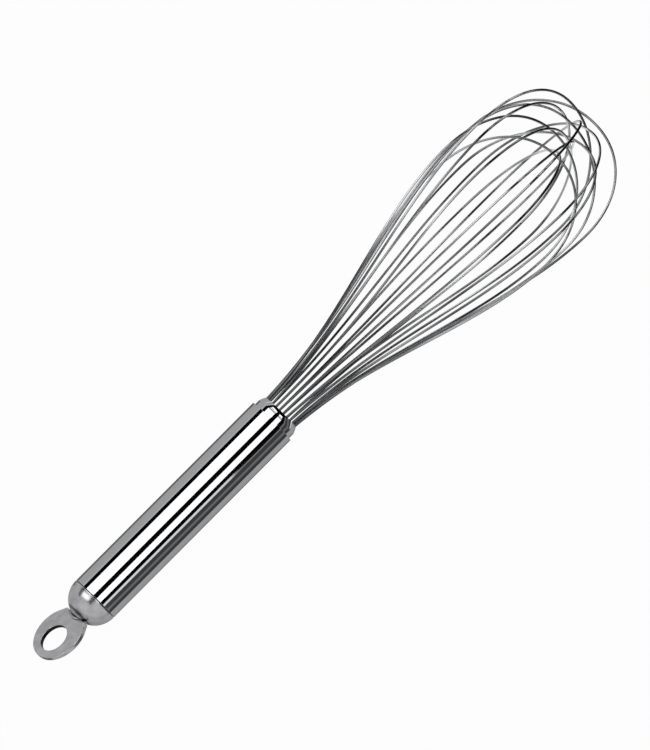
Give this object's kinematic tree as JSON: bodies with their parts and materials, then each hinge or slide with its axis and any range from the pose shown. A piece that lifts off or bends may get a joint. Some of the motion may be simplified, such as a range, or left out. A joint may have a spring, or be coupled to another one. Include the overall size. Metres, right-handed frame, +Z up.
{
  "type": "balloon whisk",
  "caption": "Balloon whisk: a polished tube handle with a domed cap and a hanging eye, and nested wire loops that stack at the crown to beat air into batter or cream.",
  "frame": {"origin": "centre of the hole in the hanging eye", "axes": "+X along the handle's axis from the eye to the wire cage; +Z up from the table that the whisk lies on; +Y to the left of the cage as seen from above with the cage pointing away"},
  "size_m": [0.3507, 0.0743, 0.0732],
  "materials": {
    "polished_steel": "mirror-polished stainless steel",
    "satin_steel": "satin cast stainless steel",
    "wire_steel": "bright drawn stainless wire",
    "core_plastic": "black moulded plastic",
    "plain_steel": "plain stamped steel",
    "resin": "cast resin"
  },
  "bodies": {
    "root": {"handle_tube": "polished_steel", "end_cap": "satin_steel", "hanging_eye": "satin_steel", "weld_front": "satin_steel", "weld_back": "satin_steel", "mouth_ferrule": "polished_steel", "wire_core": "core_plastic", "backing_disc": "plain_steel", "resin_seal": "resin", "wire_loop_01": "wire_steel", "wire_loop_02": "wire_steel", "wire_loop_03": "wire_steel", "wire_loop_04": "wire_steel", "wire_loop_05": "wire_steel", "wire_loop_06": "wire_steel", "wire_loop_07": "wire_steel", "wire_loop_08": "wire_steel", "wire_loop_09": "wire_steel", "wire_loop_10": "wire_steel", "wire_loop_11": "wire_steel", "wire_loop_12": "wire_steel"}
  },
  "joints": []
}
